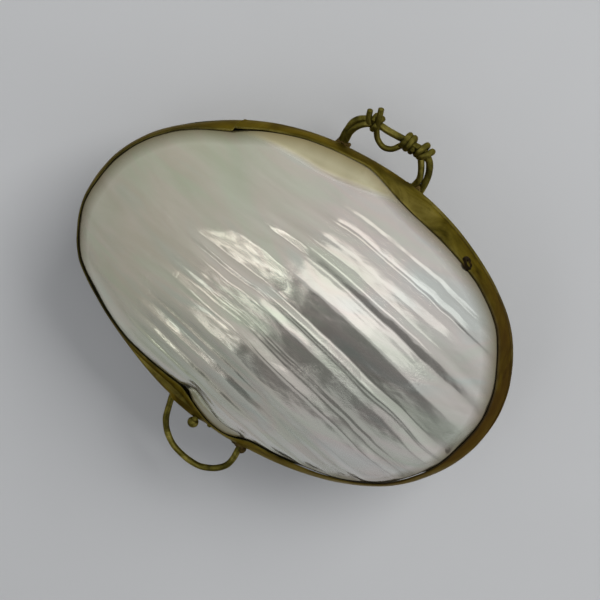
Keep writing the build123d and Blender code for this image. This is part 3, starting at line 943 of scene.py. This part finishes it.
def make_camera():
    toward = Vector((0.0, math.sin(CAMERA_TILT), math.cos(CAMERA_TILT)))
    level_up = (Vector((0, 0, 1)) - toward * toward.z).normalized()
    level_right = level_up.cross(toward)
    right = level_right * math.cos(CAMERA_ROLL) + level_up * math.sin(CAMERA_ROLL)
    up = toward.cross(right)
    camera = bpy.data.objects.new("camera", bpy.data.cameras.new("camera"))
    bpy.context.scene.collection.objects.link(camera)
    camera.location = (Vector(CAMERA_TARGET) + toward * CAMERA_DISTANCE) * MM
    camera.rotation_mode = "QUATERNION"
    turn = [[right[i], up[i], toward[i]] for i in range(3)]
    camera.rotation_quaternion = Matrix(turn).to_quaternion()
    camera.data.sensor_width = SENSOR
    camera.data.lens = SENSOR / 2 / math.tan(FIELD_OF_VIEW / 2)
    camera.data.clip_start = 0.01
    camera.data.clip_end = 10.0
    bpy.context.scene.camera = camera
    return camera


def make_light(name, place, target, size, power, colour):
    """A soft panel. With no target it lies flat over the scene, its sides along X and Y."""
    data = bpy.data.lights.new(name, "AREA")
    data.shape = "RECTANGLE"
    data.size, data.size_y = size
    data.energy = power
    data.color = colour
    lamp = bpy.data.objects.new(name, data)
    bpy.context.scene.collection.objects.link(lamp)
    lamp.location = place
    lamp.rotation_mode = "QUATERNION"
    if target:
        lamp.rotation_quaternion = (Vector(target) - Vector(place)).to_track_quat("-Z", "Y")
    return lamp


def make_floor():
    half = FLOOR_HALF
    mesh = bpy.data.meshes.new("floor")
    points = [(-half, -half, 0), (half, -half, 0), (half, half, 0), (-half, half, 0)]
    mesh.from_pydata(points, [], [(0, 1, 2, 3)])
    floor = bpy.data.objects.new("floor", mesh)
    bpy.context.scene.collection.objects.link(floor)
    mesh.materials.append(floor_material())


def make_studio():
    make_floor()
    make_world()
    place, size, power = WINDOW
    window = make_light("window", place, (0, 0, 0.01), size, power, (1.0, 0.995, 0.98))
    window.visible_glossy = False
    for name, place, size, power in PANELS:
        make_light(name, place, None, size, power, (1.0, 1.0, 0.985))
    bpy.context.scene.view_settings.view_transform = "Standard"


def make_world():
    """A pale room, with one soft dark area overhead towards the front."""
    world = bpy.data.worlds.new("studio")
    bpy.context.scene.world = world
    world.use_nodes = True
    nodes, links = world.node_tree.nodes, world.node_tree.links
    direction = nodes.new("ShaderNodeTexCoord").outputs["Generated"]

    def facing(toward, low, high, out_low, out_high):
        """A value that changes smoothly as a direction turns toward the one given."""
        product = nodes.new("ShaderNodeVectorMath")
        product.operation = "DOT_PRODUCT"
        product.inputs[1].default_value = toward
        links.new(direction, product.inputs[0])
        spread = nodes.new("ShaderNodeMapRange")
        spread.interpolation_type = "SMOOTHSTEP"
        for name, number in zip(RANGE_SOCKETS, (low, high, out_low, out_high)):
            spread.inputs[name].default_value = number
        links.new(product.outputs["Value"], spread.inputs["Value"])
        return spread.outputs["Result"]

    def times(a, b):
        product = nodes.new("ShaderNodeMath")
        product.operation = "MULTIPLY"
        for socket, value in zip(product.inputs, (a, b)):
            links.new(value, socket)
        return product.outputs[0]

    def between(toward, edges):
        """One inside a strip of directions, fading to zero over its edges."""
        entering = facing(toward, edges[0], edges[1], 0.0, 1.0)
        leaving = facing(toward, edges[2], edges[3], 1.0, 0.0)
        return times(entering, leaving)

    lit = nodes.new("ShaderNodeMapRange")
    lit.inputs["To Min"].default_value = 1.0
    lit.inputs["To Max"].default_value = DARK_SHARE
    links.new(times(between((1, 0, 0), DARK_X), between((0, 1, 0), DARK_Y)), lit.inputs["Value"])
    room = facing(ROOM_FACING, -1.0, 1.0, ROOM_LOW, ROOM_HIGH)
    sky = nodes["Background"]
    sky.inputs["Color"].default_value = SKY_COLOUR
    links.new(times(lit.outputs["Result"], room), sky.inputs["Strength"])


# ---------------------------------------------------------------- assembly

def dress(material, *names):
    """Put a material on CAD nodes that are seen as they are."""
    for name in names:
        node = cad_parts[name]
        node.data.materials.clear()
        node.data.materials.append(material)


ribbed_nacre = nacre_material("ribbed_nacre", True)
plain_nacre = nacre_material("plain_nacre", False)
band_brass = brass_material("band_brass", (rgb(54, 48, 16), rgb(112, 100, 44), rgb(146, 132, 66)),
                            0.8, (0.28, 0.42), 0.95, True)
wire_brass = brass_material("wire_brass", (rgb(48, 44, 16), rgb(104, 96, 40), rgb(156, 144, 74)),
                            1.6, (0.28, 0.45))
inner_brass = brass_material("inner_brass", (rgb(96, 78, 36), rgb(160, 138, 76), rgb(190, 168, 100)), 0.8)
solder = brass_material("solder", (rgb(40, 30, 14), rgb(84, 68, 36), rgb(124, 106, 62)),
                        2.0, (0.40, 0.65), 0.7)
# Near black for the pin hole: painted shade of its depth, browner with grime round its burr
hole_shade_and_grime = brass_material("hole_shade_and_grime", (rgb(8, 6, 3), rgb(24, 17, 9), rgb(70, 54, 30)), 2.0, (0.50, 0.70), 0.6)

make_lid_shell(ribbed_nacre)
make_base_shell(plain_nacre)
make_lid_band(band_brass)
make_pin_hole(hole_shade_and_grime)
make_front_loop(wire_brass, solder)
make_rear_handle(wire_brass, solder)
make_thumb_ball(wire_brass)
dress(band_brass, "base_band", "base_bearer", "lid_bearer")
dress(inner_brass, "base_lip", "base_hinge_leaf", "lid_hinge_leaf", "catch_bead", "lid_catch_strip")
dress(wire_brass, "hinge_pin", "base_shell_pins", "lid_shell_pins")

make_camera()
make_studio()
